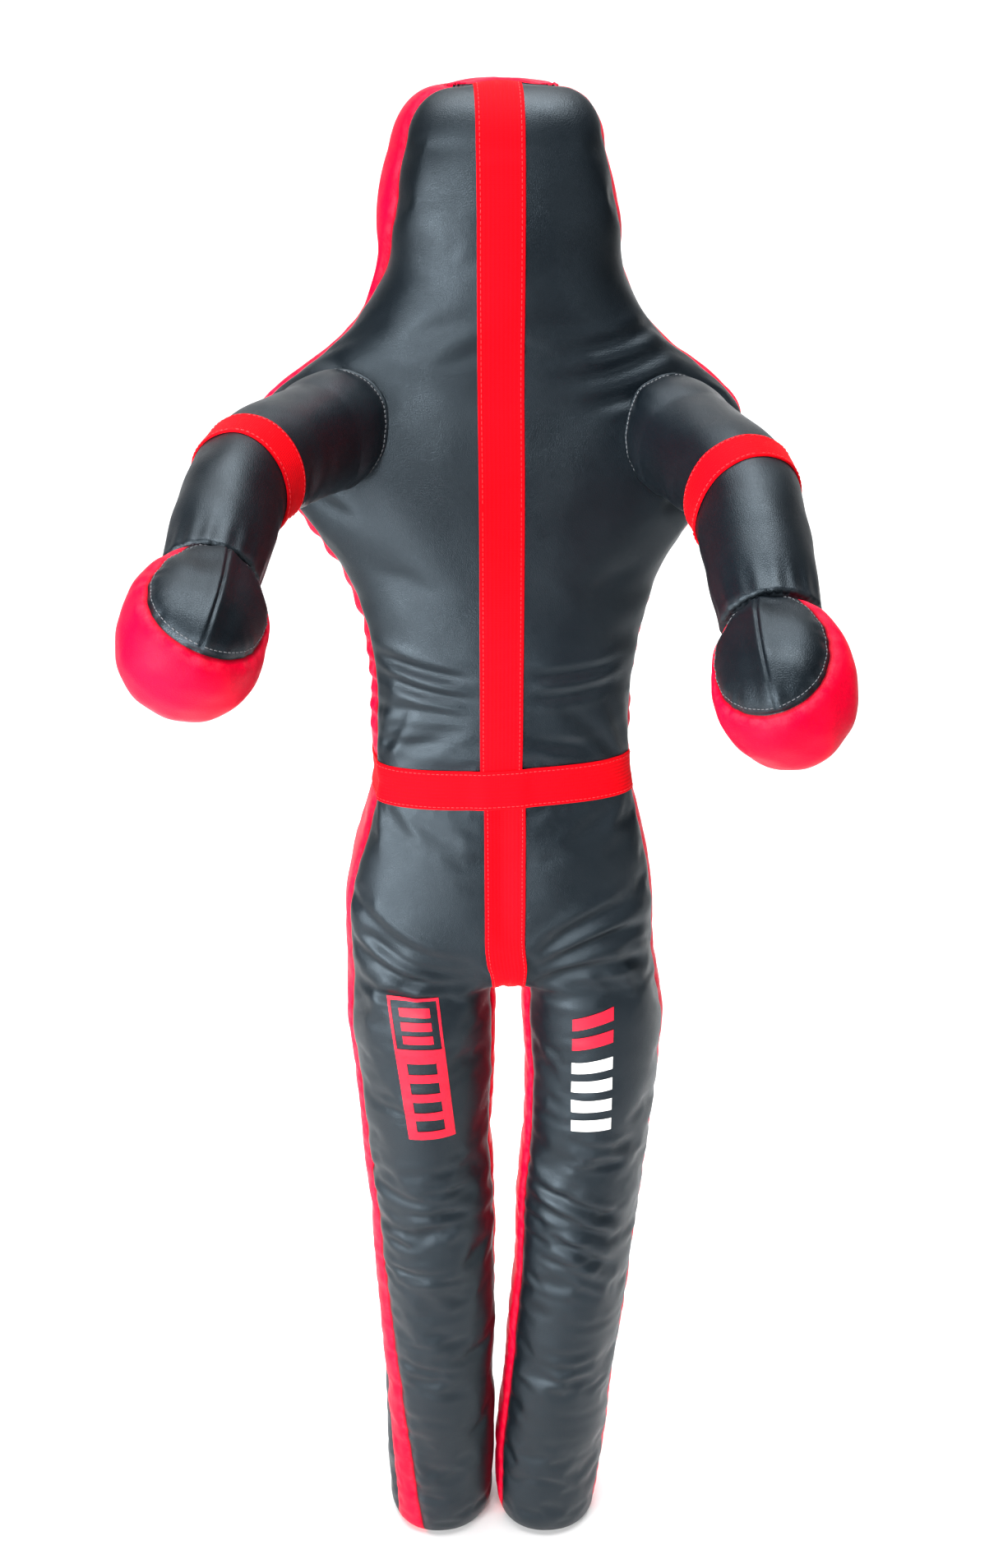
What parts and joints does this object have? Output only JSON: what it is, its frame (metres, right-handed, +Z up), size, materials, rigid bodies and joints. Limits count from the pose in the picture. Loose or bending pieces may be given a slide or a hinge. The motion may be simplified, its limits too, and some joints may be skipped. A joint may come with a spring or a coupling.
{
  "type": "grappling dummy",
  "caption": "Upright stuffed grappling dummy with reaching arms and ball gloves, jointed at neck, shoulders, elbows, waist, hips and knees, with webbing straps and a back zip.",
  "frame": {"origin": "on the floor under the middle of the dummy's bounding box, in front of the soles because the arms reach forward", "axes": "+Z up along the standing dummy, the dummy faces -Y, its own left side is on +X"},
  "size_m": [0.6031, 0.5686, 1.8],
  "materials": {
    "black_leather": "smooth satin synthetic leather",
    "red_leather": "smooth satin synthetic leather",
    "red_webbing": "ribbed woven webbing",
    "stuffing": "packed textile shreds",
    "zip_tape": "matt",
    "zip_metal": "nickel plated"
  },
  "bodies": {
    "hips": {"hips_filling": "stuffing", "hips_front_panel": "black_leather", "hips_back_panel": "black_leather", "hips_side_strips": "red_leather", "waist_belt": "red_webbing", "centre_strap_lower": "red_webbing"},
    "torso": {"torso_filling": "stuffing", "torso_front_panel": "black_leather", "torso_back_panel": "black_leather", "torso_side_strips": "red_leather", "centre_strap_upper": "red_webbing", "back_zip_chain": "zip_tape", "waist_fold": "black_leather"},
    "zip_slider": {"zip_slider": "zip_metal"},
    "head": {"head_filling": "stuffing", "head_front_panel": "black_leather", "head_back_panel": "black_leather", "head_gusset": "red_leather", "head_strap": "red_webbing", "neck_fold": "black_leather"},
    "right_upper_arm": {"right_upper_arm_filling": "stuffing", "right_upper_arm_cover": "black_leather", "right_shoulder_fold": "black_leather", "right_elbow_band": "red_webbing"},
    "right_forearm": {"right_forearm_filling": "stuffing", "right_forearm_cover": "black_leather", "right_elbow_fold": "black_leather", "right_glove_filling": "stuffing", "right_glove_palm": "red_leather", "right_glove_back_panels": "black_leather"},
    "right_thigh": {"right_thigh_filling": "stuffing", "right_thigh_front_panel": "black_leather", "right_thigh_back_panel": "black_leather", "right_thigh_side_strips": "red_leather", "right_hip_fold": "black_leather"},
    "right_shin": {"right_shin_filling": "stuffing", "right_shin_front_panel": "black_leather", "right_shin_back_panel": "black_leather", "right_shin_side_strip": "red_leather", "right_knee_fold": "black_leather"},
    "left_upper_arm": {"left_upper_arm_filling": "stuffing", "left_upper_arm_cover": "black_leather", "left_shoulder_fold": "black_leather", "left_elbow_band": "red_webbing"},
    "left_forearm": {"left_forearm_filling": "stuffing", "left_forearm_cover": "black_leather", "left_elbow_fold": "black_leather", "left_glove_filling": "stuffing", "left_glove_palm": "red_leather", "left_glove_back_panels": "black_leather"},
    "left_thigh": {"left_thigh_filling": "stuffing", "left_thigh_front_panel": "black_leather", "left_thigh_back_panel": "black_leather", "left_thigh_side_strips": "red_leather", "left_hip_fold": "black_leather"},
    "left_shin": {"left_shin_filling": "stuffing", "left_shin_front_panel": "black_leather", "left_shin_back_panel": "black_leather", "left_shin_side_strip": "red_leather", "left_knee_fold": "black_leather"}
  },
  "joints": [
    {"name": "waist_bend", "type": "hinge", "parent": "hips", "child": "torso", "pos_m": [0.025, 0.178, 1.215], "axis": [1, 0, 0], "range_deg": [-10, 45], "deforming": ["waist_fold"]},
    {"name": "neck_bend", "type": "hinge", "parent": "torso", "child": "head", "pos_m": [0.025, 0.178, 1.61], "axis": [1, 0, 0], "range_deg": [-20, 30], "deforming": ["neck_fold"]},
    {"name": "zip_slide", "type": "slide", "parent": "torso", "child": "zip_slider", "axis": [0, 0, 1], "range_m": [0, 0.145]},
    {"name": "right_shoulder_raise", "type": "hinge", "parent": "torso", "child": "right_upper_arm", "pos_m": [-0.15458, 0.07994, 1.49108], "axis": [-0.8727, 0.4882, 0], "range_deg": [-35, 35], "deforming": ["right_shoulder_fold"]},
    {"name": "right_elbow_bend", "type": "hinge", "parent": "right_upper_arm", "child": "right_forearm", "pos_m": [-0.22, -0.037, 1.478], "axis": [0.6255, -0.4233, 0.6554], "range_deg": [-25, 35], "deforming": ["right_elbow_fold", "right_elbow_band"]},
    {"name": "right_hip_bend", "type": "hinge", "parent": "hips", "child": "right_thigh", "pos_m": [-0.07, 0.178, 0.87], "axis": [-1, 0, 0], "range_deg": [-10, 80], "deforming": ["right_hip_fold"]},
    {"name": "right_knee_bend", "type": "hinge", "parent": "right_thigh", "child": "right_shin", "pos_m": [-0.06, 0.178, 0.49], "axis": [1, 0, 0], "range_deg": [0, 75], "deforming": ["right_knee_fold"]},
    {"name": "left_shoulder_raise", "type": "hinge", "parent": "torso", "child": "left_upper_arm", "pos_m": [0.20014, 0.07759, 1.48083], "axis": [-0.9613, -0.2756, 0], "range_deg": [-35, 35], "deforming": ["left_shoulder_fold"]},
    {"name": "left_elbow_bend", "type": "hinge", "parent": "left_upper_arm", "child": "left_forearm", "pos_m": [0.233, -0.037, 1.46], "axis": [0.8478, 0.32, -0.4229], "range_deg": [-25, 35], "deforming": ["left_elbow_fold", "left_elbow_band"]},
    {"name": "left_hip_bend", "type": "hinge", "parent": "hips", "child": "left_thigh", "pos_m": [0.132, 0.178, 0.87], "axis": [-1, 0, 0], "range_deg": [-10, 80], "deforming": ["left_hip_fold"]},
    {"name": "left_knee_bend", "type": "hinge", "parent": "left_thigh", "child": "left_shin", "pos_m": [0.124, 0.178, 0.49], "axis": [1, 0, 0], "range_deg": [0, 75], "deforming": ["left_knee_fold"]}
  ]
}
